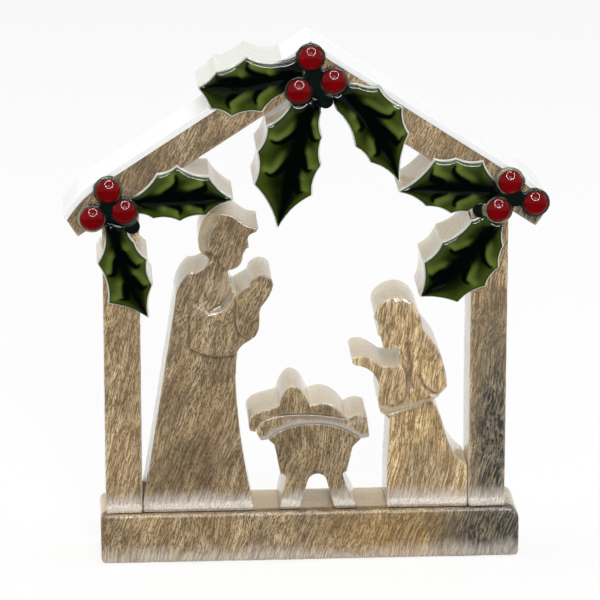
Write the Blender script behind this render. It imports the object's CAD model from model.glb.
import math
import bpy
import numpy as np
from mathutils.kdtree import KDTree
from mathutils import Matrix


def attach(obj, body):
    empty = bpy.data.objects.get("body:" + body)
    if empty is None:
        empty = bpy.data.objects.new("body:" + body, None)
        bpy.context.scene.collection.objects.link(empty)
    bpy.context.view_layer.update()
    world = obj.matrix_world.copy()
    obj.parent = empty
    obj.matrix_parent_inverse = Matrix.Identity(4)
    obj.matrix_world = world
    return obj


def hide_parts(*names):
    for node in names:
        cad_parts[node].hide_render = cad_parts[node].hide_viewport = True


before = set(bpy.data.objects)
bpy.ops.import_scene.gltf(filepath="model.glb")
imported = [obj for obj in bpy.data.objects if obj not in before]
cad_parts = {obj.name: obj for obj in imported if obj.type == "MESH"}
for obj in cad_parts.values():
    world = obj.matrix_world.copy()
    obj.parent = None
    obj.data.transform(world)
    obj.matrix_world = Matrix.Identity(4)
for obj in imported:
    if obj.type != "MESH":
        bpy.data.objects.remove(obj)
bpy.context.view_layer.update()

# Base plinth: one thick mango bar that carries everything, its front standing 3 mm proud of the rest.
# Sawn from board, sanded round on its ends and dipped in clear gloss lacquer after assembly.
MM = 1000
WELD = 0.000002
PLINTH_SKIN = 0.00052
PLINTH_SANDING = 4
SANDING_PULL = 0.5
HAND_WAVE = 0.00022
HAND_WAVE_LENGTH = 0.006
RELIEF_REACH = 12
RELIEF_SOFTENING = 2
HOLLOW_WEIGHT = 0.34
LACQUER_IOR = 1.24
PATCH_FADE = (0.25, 1.0)


def sanded_copy(node, name, skin, sanding):
    """A solid's sawn shape as one dense skin, with its corners sanded round."""
    piece = bpy.data.objects.new(name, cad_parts[node].data.copy())
    bpy.context.scene.collection.objects.link(piece)
    piece.data.materials.clear()
    bpy.ops.object.select_all(action="DESELECT")
    piece.select_set(True)
    bpy.context.view_layer.objects.active = piece
    bpy.ops.object.mode_set(mode="EDIT")
    bpy.ops.mesh.select_all(action="SELECT")
    bpy.ops.mesh.remove_doubles(threshold=WELD)
    bpy.ops.object.mode_set(mode="OBJECT")
    dense = piece.modifiers.new("dense_skin", "REMESH")
    dense.mode = "VOXEL"
    dense.voxel_size = skin
    bpy.ops.object.modifier_apply(modifier=dense.name)
    soft = piece.modifiers.new("sanding", "SMOOTH")
    soft.factor = SANDING_PULL
    soft.iterations = sanding
    bpy.ops.object.modifier_apply(modifier=soft.name)
    bpy.ops.object.shade_smooth()
    return piece


def hand_wave(piece):
    """Lets a surface dip by a hair here and there, as hand sanding and poured lacquer leave it."""
    cloud = bpy.data.textures.new(piece.name + "_wave", "CLOUDS")
    cloud.noise_scale = HAND_WAVE_LENGTH
    cloud.noise_depth = 1
    dip = piece.modifiers.new("hand_wave", "DISPLACE")
    dip.texture = cloud
    dip.texture_coords = "LOCAL"
    dip.mid_level = 1.0
    dip.strength = HAND_WAVE
    bpy.ops.object.modifier_apply(modifier=dip.name)


def neighbours(piece):
    """The two ends of every edge, as two rows of vertex numbers."""
    ends = np.empty(len(piece.data.edges) * 2, dtype=np.int32)
    piece.data.edges.foreach_get("vertices", ends)
    return ends.reshape(-1, 2).T


def corners(piece, what="co"):
    """Every vertex's place in metres, or its normal, as rows of three."""
    rows = np.empty(len(piece.data.vertices) * 3)
    piece.data.vertices.foreach_get(what, rows)
    return rows.reshape(-1, 3)


def averaged(values, ends, times):
    """Values on the vertices, spread to the vertices next to them several times over."""
    near, far = ends
    total = len(values)
    count = np.bincount(near, minlength=total) + np.bincount(far, minlength=total)
    for _ in range(times):
        pull = np.bincount(near, values[far], total) + np.bincount(far, values[near], total)
        values = 0.5 * values + 0.5 * pull / count
    return values


def store(piece, name, values):
    """Keeps one number for each vertex on the piece, for its material to read."""
    layer = piece.data.attributes.new(name, "FLOAT", "POINT")
    layer.data.foreach_set("value", values.astype(np.float32))


def mark_relief(piece):
    """Marks carved hollows below zero and edges above it, in millimetres."""
    ends = neighbours(piece)
    place = corners(piece)
    out = corners(piece, "normal")
    soft = np.stack([averaged(place[:, k], ends, RELIEF_REACH) for k in range(3)], 1)
    wide = np.stack([averaged(soft[:, k], ends, 3 * RELIEF_REACH) for k in range(3)], 1)
    near = averaged(((place - soft) * out).sum(1) * MM, ends, RELIEF_SOFTENING)
    far = averaged(((place - wide) * out).sum(1) * MM, ends, RELIEF_SOFTENING)
    store(piece, "relief", near + HOLLOW_WEIGHT * np.minimum(far, 0))


def shade(tree, kind, inputs=None, **settings):
    """Adds one shader node and fills its sockets with values or with other nodes' outputs."""
    made = tree.nodes.new("ShaderNode" + kind)
    for name, value in settings.items():
        setattr(made, name, value)
    for socket, value in (inputs or {}).items():
        if isinstance(value, bpy.types.NodeSocket):
            tree.links.new(value, made.inputs[socket])
        else:
            made.inputs[socket].default_value = value
    return made


def ramp(tree, value, low, high, to_low=0.0, to_high=1.0):
    """A soft step from one value to another."""
    made = shade(tree, "MapRange", {0: value, 1: low, 2: high, 3: to_low, 4: to_high},
                 interpolation_type="SMOOTHSTEP")
    return made.outputs[0]


def mixed(tree, share, first, second, way="MIX"):
    """Two colours laid over each other by a share. A mix node keeps its colours in sockets 6 and 7."""
    made = shade(tree, "Mix", {0: share, 6: first, 7: second}, data_type="RGBA", blend_type=way)
    return made.outputs[2]


def sums(tree, way, first, second):
    """Plain arithmetic on two values, held between none and all."""
    return shade(tree, "Math", {0: first, 1: second}, operation=way, use_clamp=True).outputs[0]


def marked(tree, name):
    """What a piece keeps for each vertex under a name."""
    return shade(tree, "Attribute", attribute_name=name).outputs["Fac"]


def sockets(tree, way, *rows):
    """Names the inputs or outputs of a shared effect."""
    for name, kind, value in rows:
        made = tree.interface.new_socket(name, in_out=way, socket_type="NodeSocket" + kind)
        if value is not None:
            made.default_value = value


def patch(tree, place, centre, reach):
    """A soft oval patch on the front, full at its centre and gone at its reach."""
    away = shade(tree, "VectorMath", {0: place, 1: centre}, operation="SUBTRACT").outputs[0]
    part = shade(tree, "VectorMath", {0: away, 1: reach}, operation="DIVIDE").outputs[0]
    flat = shade(tree, "VectorMath", {0: part, 1: (1, 0, 1)}, operation="MULTIPLY").outputs[0]
    far = shade(tree, "VectorMath", {0: flat}, operation="LENGTH").outputs[1]
    return ramp(tree, far, *PATCH_FADE, 1.0, 0.0)


# The wood's colours, and the heights and depths on the plank, in millimetres, between which they change.
WOOD = {
    "light": (0.500, 0.386, 0.232, 1),
    "brown": (0.385, 0.277, 0.148, 1),
    "band": (0.238, 0.162, 0.083, 1),
    "thread": (0.150, 0.096, 0.044, 1),
    "honey": (1.10, 1.02, 0.79, 1),
    "pores": (0.062, 0.034, 0.015, 1),
    "stain_haze": (0.215, 0.196, 0.150, 1),
    "stain_streaks": (0.028, 0.028, 0.025, 1),
    "foot": (0.66, 0.60, 0.53, 1),
    "sawn_light": (0.77, 0.675, 0.485, 1),
    "sawn_brown": (0.59, 0.495, 0.325, 1),
    "sawn_back": (0.88, 0.85, 0.78, 1),
    "sawn_plinth": (0.86, 0.76, 0.62, 1),
    "sawn_stain": (0.12, 0.12, 0.12, 1),
    "hollow": (0.074, 0.048, 0.032, 1),
    "rubbed": (0.66, 0.60, 0.54, 1),
}
GRAIN_BEND = 7
RAGGED = 9.0
PLINTH_HEM = (6.0, 12.0)
OVER_PLINTH = (20.0, 21.0)
FOOT_START = (19.6, 20.8)
FOOT_TOP = (27.0, 33.0)
LAP_START = (17.5, 19.0)
LAP_TOP = (22.0, 25.5)
COVE_TOP = (23.0, 26.0)
COVE_DEPTH = (-8.4, -7.6)
CREASES_FROM = (27.0, 30.0)
LEDGE_DEPTH = ((-11.6, -10.4), (-10.2, -9.2))
LEDGE_RISE = ((18.4, 19.2), (20.2, 20.8))
BEHIND_PLINTH_FRONT = (-12.4, -9.4)
WALL_DEPTH = (-9.0, 12.0)

mango = bpy.data.node_groups.new("mango_figure", "ShaderNodeTree")
sockets(mango, "INPUT",
        ("Relief", "Float", 0.0), ("Lean", "Float", 0.2), ("Depth", "Float", 0.5), ("Tone", "Float", 1.0),
        ("Crease", "Float", 0.8), ("Honey", "Float", 0.0), ("Honey Place", "Vector", None),
        ("Honey Reach", "Vector", None), ("Stain", "Float", 0.0), ("Stain Place", "Vector", None),
        ("Stain Reach", "Vector", None))
sockets(mango, "OUTPUT",
        ("Colour", "Color", None), ("Roughness", "Float", None), ("Height", "Float", None),
        ("Gloss", "Float", None))
given = mango.nodes.new("NodeGroupInput").outputs
where = shade(mango, "TexCoord").outputs
mm = shade(mango, "VectorMath", {0: where["Object"], "Scale": MM}, operation="SCALE").outputs[0]
bend = shade(mango, "TexNoise", {"Vector": mm, "Scale": 0.035, "Detail": 1.0}).outputs["Color"]
bent = shade(mango, "VectorMath", {0: bend, 1: (GRAIN_BEND,) * 3, 2: mm}, operation="MULTIPLY_ADD").outputs[0]
back = shade(mango, "Math", {0: given["Lean"], 1: -1.0}, operation="MULTIPLY").outputs[0]
turned = shade(mango, "VectorRotate", {"Vector": bent, "Axis": (0, 1, 0), "Angle": back}).outputs[0]


def along_grain(across, along):
    """Place on the plank, squeezed so that a pattern runs long with the grain."""
    squeeze = (across, across, along)
    return shade(mango, "VectorMath", {0: turned, 1: squeeze}, operation="MULTIPLY").outputs[0]


def grain_cells(across, along):
    """Short separate dashes along the grain."""
    return shade(mango, "TexVoronoi", {"Vector": along_grain(across, along), "Scale": 1.0}).outputs


def grain_noise(across, along, detail, roughness=0.5):
    """A cloudy pattern drawn out along the grain."""
    return shade(mango, "TexNoise", {"Vector": along_grain(across, along), "Scale": 1.0, "Detail": detail,
                                     "Roughness": roughness}).outputs[0]


dashes = grain_cells(1.6, 0.36)
few = ramp(mango, shade(mango, "SeparateColor", {0: dashes["Color"]}).outputs[0], 0.05, 0.65)
pores = sums(mango, "MULTIPLY", ramp(mango, dashes["Distance"], 0.16, 0.44, 1.0, 0.0), few)
hairs = ramp(mango, grain_cells(2.3, 0.62)["Distance"], 0.14, 0.46, 0.95, 0.0)
thread = grain_noise(1.9, 0.11, 2.0, 0.6)
cloudy = grain_noise(0.11, 0.03, 3.0)
blotch = grain_noise(0.075, 0.045, 4.0, 0.68)
band = grain_noise(0.42, 0.035, 2.0)
spread = grain_noise(1.5, 0.20, 5.0, 0.72)
near, rise = shade(mango, "SeparateXYZ", {0: mm}).outputs[1:3]
facing, upward = shade(mango, "SeparateXYZ", {0: where["Normal"]}).outputs[1:3]
facing = shade(mango, "Math", {0: facing}, operation="ABSOLUTE").outputs[0]

# The ground with its bands, threads, blotches and honey, and the pores in it.
ground = mixed(mango, ramp(mango, cloudy, 0.35, 0.65), WOOD["light"], WOOD["brown"])
ground = mixed(mango, ramp(mango, band, 0.42, 0.66, 0.0, 0.60), ground, WOOD["band"])
ground = mixed(mango, ramp(mango, thread, 0.42, 0.58, 0.0, 0.85), ground, WOOD["thread"])
level = shade(mango, "Math", {0: ramp(mango, blotch, 0.30, 0.70, 0.86, 1.62), 1: given["Tone"]},
              operation="MULTIPLY").outputs[0]
ground = shade(mango, "VectorMath", {0: ground, "Scale": level}, operation="SCALE").outputs[0]
honey = sums(mango, "MULTIPLY", patch(mango, mm, given["Honey Place"], given["Honey Reach"]), given["Honey"])
ground = mixed(mango, honey, ground, WOOD["honey"], "MULTIPLY")
marks = sums(mango, "MULTIPLY", sums(mango, "MAXIMUM", pores, hairs), given["Depth"])
figured = mixed(mango, marks, ground, WOOD["pores"])

# The water stain: a grey haze with black streaks.
stain = sums(mango, "MULTIPLY", patch(mango, mm, given["Stain Place"], given["Stain Reach"]), given["Stain"])
figured = mixed(mango, sums(mango, "MULTIPLY", stain, 0.55), figured, WOOD["stain_haze"])
stain = sums(mango, "MULTIPLY", stain, ramp(mango, spread, 0.44, 0.55, 0.10, 1.0))
figured = mixed(mango, stain, figured, WOOD["stain_streaks"])

# The paler wood at the foot of whatever stands on the plinth, and along the plinth's own lower edge.
ragged = shade(mango, "Math", {0: blotch, 1: RAGGED, 2: rise}, operation="MULTIPLY_ADD").outputs[0]
foot = sums(mango, "MULTIPLY", ramp(mango, ragged, *FOOT_TOP, 1.0, 0.0), ramp(mango, rise, *FOOT_START))
foot = sums(mango, "MULTIPLY", foot, ramp(mango, thread, 0.35, 0.65, 0.84, 0.44))
hem = sums(mango, "MULTIPLY", ramp(mango, ragged, *PLINTH_HEM, 1.0, 0.0),
           ramp(mango, thread, 0.35, 0.65, 0.66, 0.30))
figured = mixed(mango, sums(mango, "MAXIMUM", foot, hem), figured, WOOD["foot"])

# The sawn walls: pale, whiter to the back, browner on top of the plinth, and figured again in the coves.
inset = sums(mango, "MAXIMUM", ramp(mango, near, *BEHIND_PLINTH_FRONT),
             ramp(mango, upward, 0.2, 0.5, 1.0, 0.0))
sawn = sums(mango, "MULTIPLY", ramp(mango, facing, 0.35, 0.80, 0.88, 0.0), inset)
forward = ramp(mango, near, *COVE_DEPTH, 1.0, 0.0)
cove = sums(mango, "MULTIPLY", ramp(mango, rise, *COVE_TOP, 1.0, 0.0), forward)
sawn = sums(mango, "SUBTRACT", sawn, cove)
pale = mixed(mango, ramp(mango, thread, 0.40, 0.66), WOOD["sawn_light"], WOOD["sawn_brown"])
pale = mixed(mango, ramp(mango, near, *WALL_DEPTH, 0.0, 0.35), pale, WOOD["sawn_back"])
pale = mixed(mango, ramp(mango, rise, *OVER_PLINTH, 1.0, 0.0), pale, WOOD["sawn_plinth"], "MULTIPLY")
pale = mixed(mango, sums(mango, "MULTIPLY", stain, 0.6), pale, WOOD["sawn_stain"])
figured = mixed(mango, sawn, figured, pale)

# The dirt in carved creases and along the joint on the plinth, and the pale wood on rubbed edges.
lap = sums(mango, "MULTIPLY", ramp(mango, rise, *LAP_TOP, 1.0, 0.0), ramp(mango, rise, *LAP_START))
lap = sums(mango, "MULTIPLY", lap, forward)
hollow = sums(mango, "MULTIPLY", ramp(mango, given["Relief"], -0.20, -0.02, 1.0, 0.0), given["Crease"])
hollow = sums(mango, "MULTIPLY", hollow, ramp(mango, rise, *CREASES_FROM))
hollow = sums(mango, "MULTIPLY", hollow, ramp(mango, facing, 0.30, 0.75))
ledge = sums(mango, "MULTIPLY", ramp(mango, near, *LEDGE_DEPTH[0]),
             ramp(mango, near, *LEDGE_DEPTH[1], 1.0, 0.0))
low = sums(mango, "MULTIPLY", ramp(mango, rise, *LEDGE_RISE[0], 0.0, 0.75),
           ramp(mango, rise, *LEDGE_RISE[1], 1.0, 0.0))
ledge = sums(mango, "MULTIPLY", ledge, low)
hollow = sums(mango, "MAXIMUM", hollow, sums(mango, "MAXIMUM", ledge, sums(mango, "MULTIPLY", lap, 0.08)))
figured = mixed(mango, hollow, figured, WOOD["hollow"])
rubbed = sums(mango, "MULTIPLY", ramp(mango, given["Relief"], 0.06, 0.28, 0.0, 0.34),
              ramp(mango, rise, *OVER_PLINTH))
figured = mixed(mango, rubbed, figured, WOOD["rubbed"])
result = mango.nodes.new("NodeGroupOutput").inputs
mango.links.new(figured, result["Colour"])
mango.links.new(ramp(mango, marks, 0.0, 1.0, 0.38, 0.60), result["Roughness"])
mango.links.new(sums(mango, "SUBTRACT", 1.0, marks), result["Height"])
mango.links.new(sums(mango, "SUBTRACT", 1.0, sums(mango, "MULTIPLY", lap, 0.92)), result["Gloss"])

NO_PATCH = (0, (0, 0, 0), (1, 1, 1))


def lacquered_mango(name, lean=0.22, depth=0.85, tone=1.0, crease=0.8, honey=NO_PATCH, stain=NO_PATCH):
    """Mango wood under a clear gloss coat, with its own honey and grey stain patches, in millimetres."""
    finish = bpy.data.materials.new(name)
    finish.use_nodes = True
    tree = finish.node_tree
    coat = tree.nodes["Principled BSDF"]
    wood = shade(tree, "Group", node_tree=mango)
    tree.links.new(marked(tree, "relief"), wood.inputs["Relief"])
    for title, value in (("Lean", lean), ("Depth", depth), ("Tone", tone), ("Crease", crease)):
        wood.inputs[title].default_value = value
    for title, (amount, centre, reach) in (("Honey", honey), ("Stain", stain)):
        wood.inputs[title].default_value = amount
        wood.inputs[title + " Place"].default_value = centre
        wood.inputs[title + " Reach"].default_value = reach
    tree.links.new(wood.outputs["Colour"], coat.inputs["Base Color"])
    tree.links.new(wood.outputs["Roughness"], coat.inputs["Roughness"])
    grain = shade(tree, "Bump", {"Strength": 0.25, "Distance": 0.0002, "Height": wood.outputs["Height"]})
    tree.links.new(grain.outputs["Normal"], coat.inputs["Normal"])
    coat.inputs["Specular IOR Level"].default_value = 0.1
    tree.links.new(wood.outputs["Gloss"], coat.inputs["Coat Weight"])
    coat.inputs["Coat Roughness"].default_value = 0.05
    coat.inputs["Coat IOR"].default_value = LACQUER_IOR
    return finish


def wooden_piece(node, finish, skin, sanding, carve=None):
    """Turns one wooden solid into its sanded, lacquered piece on the root body."""
    piece = sanded_copy(node, node + "_wood", skin, sanding)
    if carve:
        carve(piece)
    hand_wave(piece)
    mark_relief(piece)
    piece.data.materials.append(finish)
    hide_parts(node)
    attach(piece, "root")
    return piece


plinth_finish = lacquered_mango("plinth_mango", lean=0.27, depth=0.90, tone=0.91,
                                honey=(0.9, (38, 0, 10), (38, 1, 30)),
                                stain=(1.0, (69, 0, 12), (29, 1, 44)))
wooden_piece("base_plinth", plinth_finish, PLINTH_SKIN, PLINTH_SANDING)

# Two upright posts, mango sticks glued with their feet on the plinth and their tops under the rafters.
# The left one is clean and pale, the right one carries a grey-black water stain down its outer side.
POST_SKIN = 0.00046
FRET_SANDING = 3
left_post_finish = lacquered_mango("left_post_mango", lean=0.22, depth=0.85, tone=0.97)
right_post_finish = lacquered_mango("right_post_mango", lean=0.17, depth=0.90, tone=1.0,
                                    stain=(1.0, (68.0, 0, 40), (11.0, 1, 74)))
wooden_piece("left_post", left_post_finish, POST_SKIN, FRET_SANDING)
wooden_piece("right_post", right_post_finish, POST_SKIN, FRET_SANDING)

# Two sloping rafters, mango bars that meet at the ridge and lie on the posts, with a drooping rounded eave.
# The right one is stained grey at its lower end, under the holly.
RAFTER_SKIN = 0.00046
left_rafter_finish = lacquered_mango("left_rafter_mango", lean=0.42, depth=0.90, tone=0.83)
right_rafter_finish = lacquered_mango("right_rafter_mango", lean=0.34, depth=0.90, tone=0.92,
                                      stain=(0.95, (84, 0, 129), (17, 1, 15)))
wooden_piece("left_rafter", left_rafter_finish, RAFTER_SKIN, FRET_SANDING)
wooden_piece("right_rafter", right_rafter_finish, RAFTER_SKIN, FRET_SANDING)

# Standing robed figure with a headcloth, fret-sawn from the board, with arms and hem carved in low relief.
# Its foot spreads in a cove and is glued on the plinth.
FIGURE_SKIN = 0.00044
FAR_AWAY = 99.0
STEEP = 0.6
FADE_EDGE = 1.6
FADE_TIMES = 120
ARM_FADE = (-41, 98.5, 9, 6)
NAPE_ROLL = 6.0
NAPE_REACH = 3.4
NAPE_ROUND = 1.3
NAPE_WALL_FROM = 112
NAPE_RISE = (115, 121)
NAPE_RIGHT = -30
CHEST = (-29.5, 105.5, 5.5, 8.0)
CHEST_DEPTH = 0.9
CHEST_BEHIND = -10.3
CHEST_PALE = 0.32
ARM_CREASE = ((-28.2, 105.6), (-30.2, 102.0), (-33.0, 98.9), (-36.6, 96.8))
NECK_CREASE = ((-40.4, 113.6), (-37.6, 116.2))
SCORE_ROUND = 1.5


def bared(finish, colour, mark="bare"):
    """Lays another colour over a wood, where the piece is marked for it."""
    tree = finish.node_tree
    coat = tree.nodes["Principled BSDF"]
    wood = coat.inputs["Base Color"].links[0].from_socket
    tree.links.new(mixed(tree, marked(tree, mark), wood, colour), coat.inputs["Base Color"])
    return finish


def step_up(value, low, high):
    """Nothing at low, all at high, and a soft rise between."""
    way = np.clip((value - low) / (high - low), 0, 1)
    return way * way * (3 - 2 * way)


def apart(spot, chosen):
    """How far each point lies, seen from the front, from the nearest of the chosen ones, in millimetres."""
    edge = spot[chosen][:, (0, 2)]
    tree = KDTree(len(edge))
    for number, (x, z) in enumerate(edge):
        tree.insert((x, 0, z), number)
    tree.balance()
    return np.array([tree.find((x, 0, z))[2] for x, z in spot[:, (0, 2)]])


def reshape(piece, place):
    """Moves every vertex to its new place, in metres."""
    piece.data.vertices.foreach_set("co", place.ravel())
    piece.data.update()


def sand_away(piece, x, z, reach_x, reach_z):
    """Sands a carved step on the front down to nothing, round one place in millimetres."""
    place = corners(piece)
    far = np.hypot((place[:, 0] * MM - x) / reach_x, (place[:, 2] * MM - z) / reach_z)
    share = np.clip(FADE_EDGE - FADE_EDGE * far, 0, 1) * (place[:, 1] < 0)
    soft = averaged(place[:, 1], neighbours(piece), FADE_TIMES)
    place[:, 1] += share * (soft - place[:, 1])
    reshape(piece, place)


def pare(piece, share, depth):
    """Pares the front back by a share of a depth in millimetres, down to nothing at the back face."""
    place = corners(piece)
    back = place[:, 1].max()
    thick = back - place[:, 1].min()
    place[:, 1] = back - (back - place[:, 1]) * (1 - share * depth / MM / thick)
    reshape(piece, place)


def score(piece, line, width, depth):
    """Scores a carved line into the front through a few points, in millimetres."""
    place = corners(piece)[:, (0, 2)] * MM
    away = np.full(len(place), FAR_AWAY)
    for start, stop in zip(line, line[1:]):
        start = np.array(start)
        run = np.array(stop) - start
        along = np.clip((place - start) @ run / (run @ run), 0, 1)
        away = np.minimum(away, np.linalg.norm(place - start - along[:, None] * run, axis=1))
    pare(piece, np.clip(1 - away / width, 0, 1) ** SCORE_ROUND, depth)


def carve_arms(figure):
    """Fades out the end of the arm's step, rounds the nape, pares the chest and scores the creases."""
    sand_away(figure, *ARM_FADE)
    spot = corners(figure) * MM
    wall = (corners(figure, "normal")[:, 0] < -STEEP) & (spot[:, 1] < 0) & (spot[:, 2] > NAPE_WALL_FROM)
    nape = np.clip(1 - apart(spot, wall) / NAPE_REACH, 0, 1) ** NAPE_ROUND
    nape = nape * step_up(spot[:, 2], *NAPE_RISE) * (spot[:, 0] < NAPE_RIGHT)
    pare(figure, nape, NAPE_ROLL)
    x, z, reach_x, reach_z = CHEST
    spot = corners(figure) * MM
    share = np.clip(1 - np.hypot((spot[:, 0] - x) / reach_x, (spot[:, 2] - z) / reach_z), 0, 1)
    share = share * (spot[:, 1] > CHEST_BEHIND)
    pare(figure, share, CHEST_DEPTH)
    store(figure, "bare", CHEST_PALE * np.minimum(2 * share, 1) * (spot[:, 1] < 0))
    score(figure, ARM_CREASE, width=1.3, depth=1.0)
    score(figure, NECK_CREASE, width=1.1, depth=0.8)


standing_finish = lacquered_mango("standing_mango", lean=0.34, depth=0.90, tone=0.77, crease=0.6)
standing_finish = bared(standing_finish, (0.56, 0.45, 0.34, 1))
wooden_piece("standing_figure", standing_finish, FIGURE_SKIN, FRET_SANDING, carve=carve_arms)

# Kneeling veiled figure on the right, fret-sawn and carved in low relief, glued on the plinth.
# Its wood is the most golden, with a faint grey stain low on the skirt.
VEIL_FADES = ((33.5, 98, 6, 10), (36.5, 86, 6, 11), (41, 76, 6, 10), (42, 66, 6, 8))
NECK_HOLLOW = ((36.0, 83.0), (36.9, 75.0), (37.3, 67.0))
LAPPET = ((40.4, 70.4), (42.0, 66.8), (44.8, 64.2), (49.0, 63.4))
HEM = ((24.5, 57.5), (29.5, 55.6), (37.0, 58.0), (45.3, 60.9))
HEM_ROLL = 0.9
HEM_REACH = (4.0, 1.4)
HEM_RIGHT = 46
HEM_PALE = 0.60


def carve_veil(figure):
    """Sands the veil smooth, hollows the neck, scores the lappet and rolls the mantle's pale hem."""
    for fade in VEIL_FADES:
        sand_away(figure, *fade)
    score(figure, NECK_HOLLOW, width=3.4, depth=0.9)
    score(figure, LAPPET, width=1.4, depth=1.1)
    spot = corners(figure) * MM
    above = spot[:, 2] - np.interp(spot[:, 0], *np.array(HEM).T)
    reach = np.interp(spot[:, 0], (HEM[0][0], HEM[-1][0]), HEM_REACH)
    rolled = np.where(above > 0, np.clip(1 - above / reach, 0, 1), 0) * (spot[:, 0] < HEM_RIGHT)
    pare(figure, rolled ** 2, HEM_ROLL)
    store(figure, "bare", HEM_PALE * np.minimum(3 * rolled, 1) * (spot[:, 1] < 0))


kneeling_finish = lacquered_mango("kneeling_mango", lean=0.14, depth=0.64, tone=1.26, crease=0.5,
                                  honey=(0.32, (42, 0, 60), (40, 1, 70)),
                                  stain=(0.32, (44, 0, 33), (12, 1, 14)))
kneeling_finish = bared(kneeling_finish, (0.52, 0.45, 0.34, 1))
wooden_piece("kneeling_figure", kneeling_finish, FIGURE_SKIN, FRET_SANDING, carve=carve_veil)

# Manger: a crib on splayed legs, a lip of bedding over it and the swaddled infant on top.
# Three blocks of the same board, stacked and glued, their top walls left pale.
MANGER_SKIN = 0.00042
LIP_ROLL = 1.7
LIP_REACH = 2.8
LIP_PALE = 0.85
LIP_FADE = (1.2, 2.8)
LIP_FRONT = -7
BEDDING_PROUD = 0.7
FLUSH_FADE = (0, 4)
FLUSH_FROM = (-14, -8)
JOINT_DARK = 0.85
JOINT_FADE = (1.2, 2.4)
JOINT_FRONT = -8.6
JOINT_ENDS = ((-13, -10), (11, 13))


def roll_lip(bedding):
    """Rolls the lower front edge back in a pale round lip, brings the upper edge flush with the infant
    and marks the dark joint between them."""
    spot = corners(bedding) * MM
    out = corners(bedding, "normal")
    under = apart(spot, (out[:, 2] < -STEEP) & (spot[:, 1] < 0))
    above = apart(spot, (out[:, 2] > STEEP) & (spot[:, 1] < 0))
    rolled = LIP_ROLL * (1 - np.clip(under / LIP_REACH, 0, 1)) ** 2
    flush = BEDDING_PROUD * (1 - step_up(above, *FLUSH_FADE)) * step_up(spot[:, 0], *FLUSH_FROM)
    pare(bedding, np.maximum(rolled, flush), 1.0)
    store(bedding, "bare", LIP_PALE * (1 - step_up(under, *LIP_FADE)) * (spot[:, 1] < LIP_FRONT))
    beside = step_up(spot[:, 0], *JOINT_ENDS[0]) * (1 - step_up(spot[:, 0], *JOINT_ENDS[1]))
    joint = JOINT_DARK * (1 - step_up(above, *JOINT_FADE)) * (spot[:, 1] < JOINT_FRONT) * beside
    store(bedding, "joint", joint)


manger_finish = lacquered_mango("manger_mango", lean=0.20, depth=0.92, tone=0.78)
manger_finish = bared(manger_finish, (0.50, 0.455, 0.42, 1))
manger_finish = bared(manger_finish, (0.19, 0.135, 0.075, 1), "joint")
wooden_piece("manger_crib", manger_finish, MANGER_SKIN, FRET_SANDING)
wooden_piece("manger_bedding", manger_finish, MANGER_SKIN, FRET_SANDING, carve=roll_lip)
wooden_piece("swaddled_infant", manger_finish, MANGER_SKIN, FRET_SANDING)

# Seven holly leaves' backing blocks: toothed outlines sawn through the board and lapped over the rafters.
# Bare lacquered mango on the walls, with a pale unpainted rim round the enamel on the front. The leaf that
# stands over the left roof has its top walls under the same white as the roof.
LEAVES = ("apex_left", "apex_centre", "apex_right", "left_inner", "left_hanging",
          "right_inner", "right_hanging")
SPRIGS = {"apex": (1.3, 185.4), "left": (-73.6, 137.8), "right": (74.6, 138.7)}
INK = {"apex": 14.0, "left": 11.2, "right": 11.8}
INK_FADE = 2.6
BLOCK_SKIN = 0.00036
BLOCK_SANDING = 2
BLOCK_FRONT = -9.6
RIM_PALE = 0.95
RIM_SOFTENING = 2
SNOWED_LEAF = "apex_left"
SNOWED_PALE = 0.9
SNOWED_SLOPE = 0.1


def inked(spot, sprig):
    """How black each point is painted by its distance from its sprig's hub, in millimetres."""
    far = np.hypot(spot[:, 0] - SPRIGS[sprig][0], spot[:, 2] - SPRIGS[sprig][1])
    return 1 - step_up(far, INK[sprig] - INK_FADE, INK[sprig] + INK_FADE)


block_finish = lacquered_mango("leaf_block_mango", lean=0.20, depth=0.6)
block_finish = bared(block_finish, (0.66, 0.67, 0.62, 1))
block_finish = bared(block_finish, (0.003, 0.005, 0.004, 1), "inked")
for leaf in LEAVES:
    block = wooden_piece(leaf + "_leaf_block", block_finish, BLOCK_SKIN, BLOCK_SANDING)
    spot = corners(block) * MM
    front = spot[:, 1] < BLOCK_FRONT
    bare = front * RIM_PALE
    if leaf == SNOWED_LEAF:
        bare = np.maximum(bare, (corners(block, "normal")[:, 2] > SNOWED_SLOPE) * SNOWED_PALE)
    store(block, "inked", front * inked(spot, leaf.split("_")[0]))
    store(block, "bare", averaged(bare, neighbours(block), RIM_SOFTENING))

# Three hubs where the leaves of a sprig meet: low carved bosses under the berries, painted near-black green.
# The paint runs thin round each berry and leaves a pale olive collar.
ENAMEL_IOR = 1.18
HUB_SKIN = 0.00036
HUB_SANDING = 2
BERRY_PLACES = {"apex": ((-4.3, 180.2), (0.0, 192.4), (8.3, 183.7)),
                "left": ((-79.5, 133.5), (-73.5, 143.9), (-67.8, 136.1)),
                "right": ((72.9, 144.9), (82.2, 136.8), (68.7, 134.4))}
COLLARS = {"apex": (0.10, 0.10, 0.22), "left": (0.70, 0.32, 0.12), "right": (0.80, 0.12, 0.66)}
COLLAR_FOOT = (4.7, 5.1)
COLLAR_FOOT_SHARE = 0.55
COLLAR_FOOT_FROM = (2.5, 5.0)
COLLAR_OUTER_FROM = (6.6, 9.2)
COLLAR_REACH = 6.0


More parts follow.
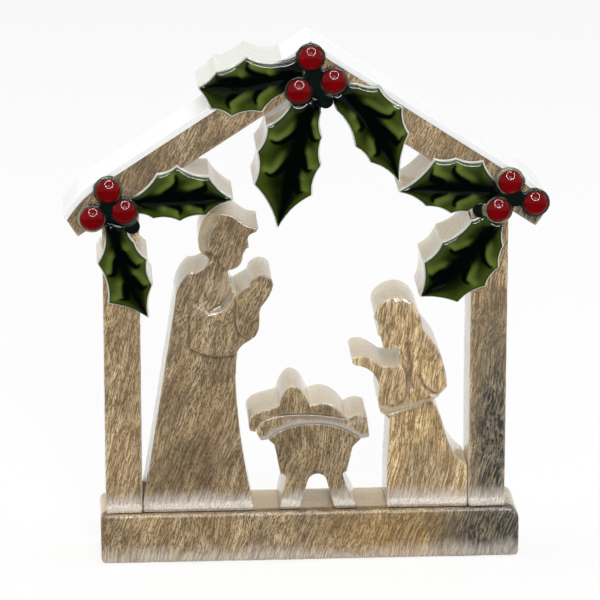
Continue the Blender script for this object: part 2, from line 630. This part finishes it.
def enamel(name, cloud_scale, roughness, cloud_detail=3.0, coat_roughness=0.03):
    """A thick glossy enamel, its nodes, and the faint cloud in it."""
    finish = bpy.data.materials.new(name)
    finish.use_nodes = True
    tree = finish.node_tree
    coat = tree.nodes["Principled BSDF"]
    place = shade(tree, "TexCoord").outputs["Object"]
    cloud = shade(tree, "TexNoise", {"Vector": place, "Scale": cloud_scale,
                                     "Detail": cloud_detail}).outputs[0]
    tree.links.new(ramp(tree, cloud, 0.2, 0.8, *roughness), coat.inputs["Roughness"])
    coat.inputs["Specular IOR Level"].default_value = 0.0
    coat.inputs["Coat Weight"].default_value = 1.0
    coat.inputs["Coat IOR"].default_value = ENAMEL_IOR
    coat.inputs["Coat Roughness"].default_value = coat_roughness
    return finish, tree, cloud


def tint(tree, colour):
    """Gives an enamel its colour."""
    tree.links.new(colour, tree.nodes["Principled BSDF"].inputs["Base Color"])


hub_finish, hub_tree, hub_cloud = enamel("hub_enamel", 260.0, (0.10, 0.22))
hub_dark = mixed(hub_tree, hub_cloud, (0.0022, 0.0040, 0.0034, 1), (0.006, 0.012, 0.010, 1))
hub_ring = sums(hub_tree, "MULTIPLY", marked(hub_tree, "collar"),
                ramp(hub_tree, hub_cloud, 0.36, 0.60, 0.45, 1.0))
tint(hub_tree, mixed(hub_tree, hub_ring, hub_dark, (0.42, 0.44, 0.29, 1)))
for sprig, places in BERRY_PLACES.items():
    hub = sanded_copy(sprig + "_sprig_hub", sprig + "_hub_boss", HUB_SKIN, HUB_SANDING)
    spot = corners(hub) * MM
    gaps = np.array([np.hypot(spot[:, 0] - x, spot[:, 2] - z) for x, z in places])
    nearest = gaps.min(axis=0)
    strength = np.array(COLLARS[sprig])[gaps.argmin(axis=0)]
    middle = np.mean(places, axis=0)
    outer = np.hypot(spot[:, 0] - middle[0], spot[:, 2] - middle[1])
    inner_ring = COLLAR_FOOT_SHARE * (1 - step_up(nearest, *COLLAR_FOOT)) * step_up(outer, *COLLAR_FOOT_FROM)
    outer_ring = step_up(outer, *COLLAR_OUTER_FROM) * (nearest < COLLAR_REACH)
    store(hub, "collar", strength * np.maximum(inner_ring, outer_ring))
    hub.data.materials.append(hub_finish)
    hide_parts(sprig + "_sprig_hub")
    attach(hub, "root")

# Nine berries: turned domes pressed on the hubs in threes and dipped in glossy deep red enamel.
# The enamel pools darker round the foot.
BERRY_SKIN = 0.00020
BERRY_SANDING = 14
BERRY_POOL_FROM = -12.6
BERRY_POOL_FADE = 1.3
BERRY_POOL_DARK = 0.8
berry_finish, berry_tree, berry_cloud = enamel("berry_enamel", 180.0, (0.10, 0.20), coat_roughness=0.02)
berry_red = mixed(berry_tree, berry_cloud, (0.10, 0.001, 0.002, 1), (0.20, 0.002, 0.004, 1))
tint(berry_tree, mixed(berry_tree, marked(berry_tree, "foot"), berry_red, (0.045, 0.001, 0.002, 1)))
for sprig in BERRY_PLACES:
    for number in (1, 2, 3):
        node = sprig + "_berry_" + str(number)
        berry = sanded_copy(node, node + "_dome", BERRY_SKIN, BERRY_SANDING)
        depth = corners(berry)[:, 1] * MM
        pool = np.clip((depth - BERRY_POOL_FROM) / BERRY_POOL_FADE, 0, 1)
        store(berry, "foot", pool * BERRY_POOL_DARK)
        berry.data.materials.append(berry_finish)
        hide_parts(node)
        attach(berry, "root")

# Seven enamel faces: thick green glaze on the carved leaf fronts, swelling in lobes along both margins.
# Black pools in the midrib trough and in the hooked veins between lobes, and round the hub.
GLAZE_SKIN = 0.00025
GLAZE_SANDING = 4
GLAZE_SEAT = 11.2
GLAZE_SINK = 0.3
GLAZE_LOBE = 1.5
GLAZE_EDGE = 0.75
GLAZE_ROUND = 2.6
GLAZE_TROUGH = 1.2
FRONT_FACING = (0.25, 0.6)
WALL_FACING = 0.05
WALL_CLEAR = 0.15
SEAT_CLEAR = 0.25
TROUGH_SHARE = (0.08, 0.50)
TROUGH_SOFTENING = 10
HEIGHT_SOFTENING = 3
POOL_SOFTENING = 2
TROUGH_FROM = (0.3, 1.6)
ROOT_SPAN = (0.44, 0.20)
TIP_SPAN = (0.72, 0.98)
CORE_SOLID = 0.24
ROOT_SOLID = 0.22
CORE_GONE = 0.62
ROOT_GONE = 0.30
TIP_GONE = 0.14
HOOK_POINTS = 25
HOOK_START = 0.20
HOOK_CURL = 1.25
HOOK_TURN = 1.95
HOOK_WIDE = 1.45
HOOK_TAPER = 0.95
HOOK_EDGE = (-0.30, 0.40)
HOOK_LAP = 0.4
HOOK_SUNK = 0.30
SWELL_BEHIND = (0.1, 1.0)
SWELL_FADE = (0.4, 3.8)
GLOW_SHARE = (0.2, 0.55)
GLOW_SPREAD = 16
# Each leaf: its sprig, length and bearing, its midrib's bow and how wide the black is, and its hooks by side:
# where a hook leaves the midrib, how far along it ends, and how far out to the margin it runs.
LEAF_PLAN = {
    "apex_left": ("apex", 41.7, 184.7, -0.4, 0.70,
                  ((0.66, 0.77, 0.80), (0.45, 0.53, 0.74)), ((0.70, 0.84, 0.80), (0.45, 0.575, 0.85))),
    "apex_centre": ("apex", 57.5, 256.7, 0.9, 0.78,
                    ((0.33, 0.40, 0.86), (0.53, 0.60, 0.72), (0.69, 0.75, 0.62)),
                    ((0.38, 0.466, 0.84), (0.58, 0.68, 0.80))),
    "apex_right": ("apex", 50.0, 308.1, 5.5, 0.78,
                   ((0.45, 0.577, 0.80), (0.64, 0.767, 0.82)), ((0.45, 0.52, 0.66), (0.68, 0.74, 0.70))),
    "left_inner": ("left", 45.3, 2.7, 1.8, 0.85,
                   ((0.48, 0.56, 0.80), (0.70, 0.79, 0.80)), ((0.50, 0.58, 0.70), (0.70, 0.77, 0.70))),
    "left_hanging": ("left", 44.1, 288.6, -2.2, 0.55,
                     ((0.44, 0.56, 0.70), (0.66, 0.75, 0.74)), ((0.47, 0.56, 0.84), (0.70, 0.79, 0.70))),
    "right_inner": ("right", 42.6, 175.6, -3.0, 0.52,
                    ((0.43, 0.52, 0.76), (0.63, 0.71, 0.76)), ((0.45, 0.55, 0.80), (0.66, 0.74, 0.84))),
    "right_hanging": ("right", 50.0, 227.0, 2.0, 0.76,
                      ((0.44, 0.50, 0.84), (0.62, 0.70, 0.70)), ((0.53, 0.60, 0.66), (0.77, 0.85, 0.70))),
}


def hook_gap(along, share, half, length, hook):
    """How far each point lies from the edge of one hooked vein, and how far behind it, in millimetres."""
    start, stop, reach = hook
    gap = np.full(len(along), FAR_AWAY)
    thick = np.zeros(len(along))
    behind = np.zeros(len(along))
    for way in np.linspace(0, 1, HOOK_POINTS):
        hook_along = stop - HOOK_CURL * (stop - start) * (1 - math.sin(HOOK_TURN * way))
        hook_share = HOOK_START + (reach - HOOK_START) * way
        away = np.hypot((along - hook_along) * length, (share - hook_share) * half)
        wide = HOOK_WIDE - HOOK_TAPER * way
        nearer = away - wide < gap - thick
        gap = np.where(nearer, away, gap)
        thick = np.where(nearer, wide, thick)
        behind = np.where(nearer, (hook_along - along) * length, behind)
    return gap - thick, behind


def glaze_leaf(face, plan):
    """Swells the lobes, sinks the midrib and the hooks, and marks where black pools and glaze thins."""
    sprig, length, bearing, bow, core, *sides = plan
    ends = neighbours(face)
    spot = corners(face) * MM
    front = step_up(-corners(face, "normal")[:, 1], *FRONT_FACING)
    turn = math.radians(bearing)
    off_x = spot[:, 0] - SPRIGS[sprig][0]
    off_z = spot[:, 2] - SPRIGS[sprig][1]
    along = (off_x * math.cos(turn) + off_z * math.sin(turn)) / length
    out = off_z * math.cos(turn) - off_x * math.sin(turn) - 4 * bow * along * (1 - along)
    margin = apart(spot, (front < WALL_FACING) & (spot[:, 1] < -GLAZE_SEAT - WALL_CLEAR))
    half = np.abs(out) + margin + 0.001
    share = np.abs(out) / half
    root = step_up(along, *ROOT_SPAN)
    tip = step_up(along, *TIP_SPAN)
    solid = core * CORE_SOLID + ROOT_SOLID * root
    gone = core * CORE_GONE + ROOT_GONE * root + TIP_GONE * tip
    dark = 1 - step_up(share, solid, gone)
    sunk = 1 - step_up(share, *TROUGH_SHARE)
    glow = np.zeros(len(along))
    for side, hooks in zip((1, -1), sides):
        for hook in hooks:
            gap, behind = hook_gap(along, share, half, length, hook)
            stroke = (1 - step_up(gap, *HOOK_EDGE)) * (side * out > -HOOK_LAP)
            dark = np.maximum(dark, stroke)
            sunk = np.maximum(sunk, HOOK_SUNK * stroke)
            swell = step_up(behind, *SWELL_BEHIND) * (1 - step_up(gap, *SWELL_FADE)) * (side * out > 0)
            glow = np.maximum(glow, swell)
    height = GLAZE_EDGE + (GLAZE_LOBE - GLAZE_EDGE) * np.sqrt(np.clip(margin / GLAZE_ROUND, 0, 1))
    sunk = averaged(sunk, ends, TROUGH_SOFTENING)
    height = height + (GLAZE_TROUGH - height) * sunk * step_up(margin, *TROUGH_FROM)
    spot[:, 1] += front * (-GLAZE_SEAT - averaged(height, ends, HEIGHT_SOFTENING) - spot[:, 1])
    seat = spot[:, 1] > -GLAZE_SEAT - SEAT_CLEAR
    spot[seat, 1] += GLAZE_SINK
    reshape(face, spot / MM)
    store(face, "pool", averaged(np.maximum(dark, inked(spot, sprig)), ends, POOL_SOFTENING))
    store(face, "margin", margin)
    store(face, "share", share)
    store(face, "glow", averaged(glow * step_up(share, *GLOW_SHARE), ends, GLOW_SPREAD))


glaze, glaze_tree, glaze_cloud = enamel("leaf_glaze", 170.0, (0.12, 0.24), cloud_detail=4.0)
green = mixed(glaze_tree, ramp(glaze_tree, marked(glaze_tree, "share"), 0.45, 1.0),
              (0.004, 0.007, 0.0010, 1), (0.049, 0.072, 0.0095, 1))
green = mixed(glaze_tree, ramp(glaze_tree, glaze_cloud, 0.35, 0.70, 0.0, 0.45),
              green, (0.019, 0.030, 0.004, 1))
glow_share = sums(glaze_tree, "MULTIPLY", marked(glaze_tree, "glow"), 0.74)
green = mixed(glaze_tree, glow_share, green, (0.152, 0.212, 0.038, 1))
thin = ramp(glaze_tree, marked(glaze_tree, "margin"), 0.1, 1.0, 0.55, 0.0)
green = mixed(glaze_tree, thin, green, (0.012, 0.030, 0.006, 1))
tint(glaze_tree, mixed(glaze_tree, marked(glaze_tree, "pool"), green, (0.0010, 0.0016, 0.0012, 1)))
for leaf in LEAVES:
    face = sanded_copy(leaf + "_leaf_enamel", leaf + "_leaf_glaze", GLAZE_SKIN, GLAZE_SANDING)
    glaze_leaf(face, LEAF_PLAN[leaf])
    face.data.materials.append(glaze)
    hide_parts(leaf + "_leaf_enamel")
    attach(face, "root")

# Roof coats: thick white enamel poured along the tops of both rafters, like snow.
# It rolls a millimetre or two over the front edge and is broken by the leaves and the hubs.
SNOW_SKIN = 0.00036
SNOW_SANDING = 2
snow_finish, snow_tree, snow_cloud = enamel("roof_snow_enamel", 90.0, (0.12, 0.25))
tint(snow_tree, mixed(snow_tree, snow_cloud, (0.90, 0.90, 0.89, 1), (0.80, 0.81, 0.82, 1)))
for side in ("left", "right"):
    snow = sanded_copy(side + "_roof_enamel", side + "_roof_snow", SNOW_SKIN, SNOW_SANDING)
    snow.data.materials.append(snow_finish)
    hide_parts(side + "_roof_enamel")
    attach(snow, "root")

# Studio: a wide white table, soft light from above, both sides and the front, and two props seen only in
# gloss: a ring lamp hung before the object and a dark cloth on the table. The table and the air behind it show
# as plain white, and the table keeps the object's shadow.
TABLE_GLOW = 0.80
AIR_LIGHT = 0.35
STABLE_MIDDLE = 0.10


def looked_at(tree):
    """All for what is seen straight or in gloss or glass, and nothing for what only lights the object."""
    path = shade(tree, "LightPath").outputs
    seen = sums(tree, "MAXIMUM", path["Is Camera Ray"], path["Is Glossy Ray"])
    return sums(tree, "MAXIMUM", seen, path["Is Transmission Ray"])


def only_in_gloss(prop):
    """Hides a studio prop from the camera, from soft light and from shadows."""
    prop.visible_diffuse = False
    prop.visible_camera = False
    prop.visible_shadow = False


bpy.ops.object.select_all(action="DESELECT")
bpy.ops.mesh.primitive_plane_add(size=30.0, location=(0, 0, 0))
table = bpy.context.object
table.name = "white_table"
table_finish = bpy.data.materials.new("white_table_paint")
table_finish.use_nodes = True
table_tree = table_finish.node_tree
table_paint = table_tree.nodes["Principled BSDF"]
table_paint.inputs["Base Color"].default_value = (0.88, 0.88, 0.88, 1)
table_paint.inputs["Specular IOR Level"].default_value = 0.0
table_share = sums(table_tree, "MULTIPLY", looked_at(table_tree), TABLE_GLOW)
table_glow = shade(table_tree, "Emission", {"Color": (1, 1, 1, 1), "Strength": 1.0})
table_mix = shade(table_tree, "MixShader", {0: table_share, 1: table_paint.outputs[0],
                                            2: table_glow.outputs[0]})
table_tree.links.new(table_mix.outputs[0], table_tree.nodes["Material Output"].inputs["Surface"])
table.data.materials.append(table_finish)

air = bpy.data.worlds.new("white_studio")
bpy.context.scene.world = air
air.use_nodes = True
air_tree = air.node_tree
air_level = ramp(air_tree, looked_at(air_tree), 0.0, 1.0, AIR_LIGHT, 1.0)
air_tree.nodes["Background"].inputs["Color"].default_value = (1, 1, 1, 1)
air_tree.links.new(air_level, air_tree.nodes["Background"].inputs["Strength"])


def soft_lamp(name, place, size, power):
    """A square soft box that looks at the middle of the stable."""
    light = bpy.data.lights.new(name, "AREA")
    light.size = size
    light.energy = power
    lamp = bpy.data.objects.new(name, light)
    bpy.context.scene.collection.objects.link(lamp)
    lamp.location = place
    aim = lamp.location.copy()
    aim.z -= STABLE_MIDDLE
    lamp.rotation_euler = aim.to_track_quat("Z", "Y").to_euler()


soft_lamp("left_soft_box", (-1.4, 0.1, 0.7), size=0.8, power=7.5)
soft_lamp("right_soft_box", (1.4, 0.0, 0.6), size=0.8, power=5.0)
soft_lamp("top_soft_box", (0.0, 0.1, 1.5), size=0.9, power=10.0)
soft_lamp("front_soft_box", (0.1, -1.4, 0.95), size=0.5, power=10.2)

bpy.ops.object.select_all(action="DESELECT")
bpy.ops.mesh.primitive_torus_add(location=(0.10, -0.80, 0.90),
                                 rotation=(math.radians(45), 0, math.radians(7)),
                                 major_radius=0.60, minor_radius=0.034,
                                 major_segments=96, minor_segments=16)
ring = bpy.context.object
ring.name = "ring_lamp"
only_in_gloss(ring)
ring_glow = bpy.data.materials.new("ring_lamp_glow")
ring_glow.use_nodes = True
ring_tree = ring_glow.node_tree
ring_light = shade(ring_tree, "Emission", {"Color": (1, 1, 1, 1), "Strength": 130.0})
ring_tree.links.new(ring_light.outputs[0], ring_tree.nodes["Material Output"].inputs["Surface"])
ring.data.materials.append(ring_glow)

bpy.ops.object.select_all(action="DESELECT")
bpy.ops.mesh.primitive_plane_add(size=1.3, location=(0, -0.68, 0.002))
flag = bpy.context.object
flag.name = "dark_flag"
only_in_gloss(flag)
flag_finish = bpy.data.materials.new("dark_flag_cloth")
flag_finish.use_nodes = True
flag_cloth = flag_finish.node_tree.nodes["Principled BSDF"]
flag_cloth.inputs["Base Color"].default_value = (0.02, 0.02, 0.02, 1)
flag_cloth.inputs["Specular IOR Level"].default_value = 0.0
flag.data.materials.append(flag_finish)

lens = bpy.data.cameras.new("camera")
lens.lens = 254.04
lens.sensor_width = 36.0
camera = bpy.data.objects.new("camera", lens)
bpy.context.scene.collection.objects.link(camera)
camera.location = (-0.0906, -1.4888, 0.5611)
camera.rotation_euler = (math.radians(72.74), 0, math.radians(-3.36))
bpy.context.scene.camera = camera
bpy.context.scene.view_settings.view_transform = "Standard"
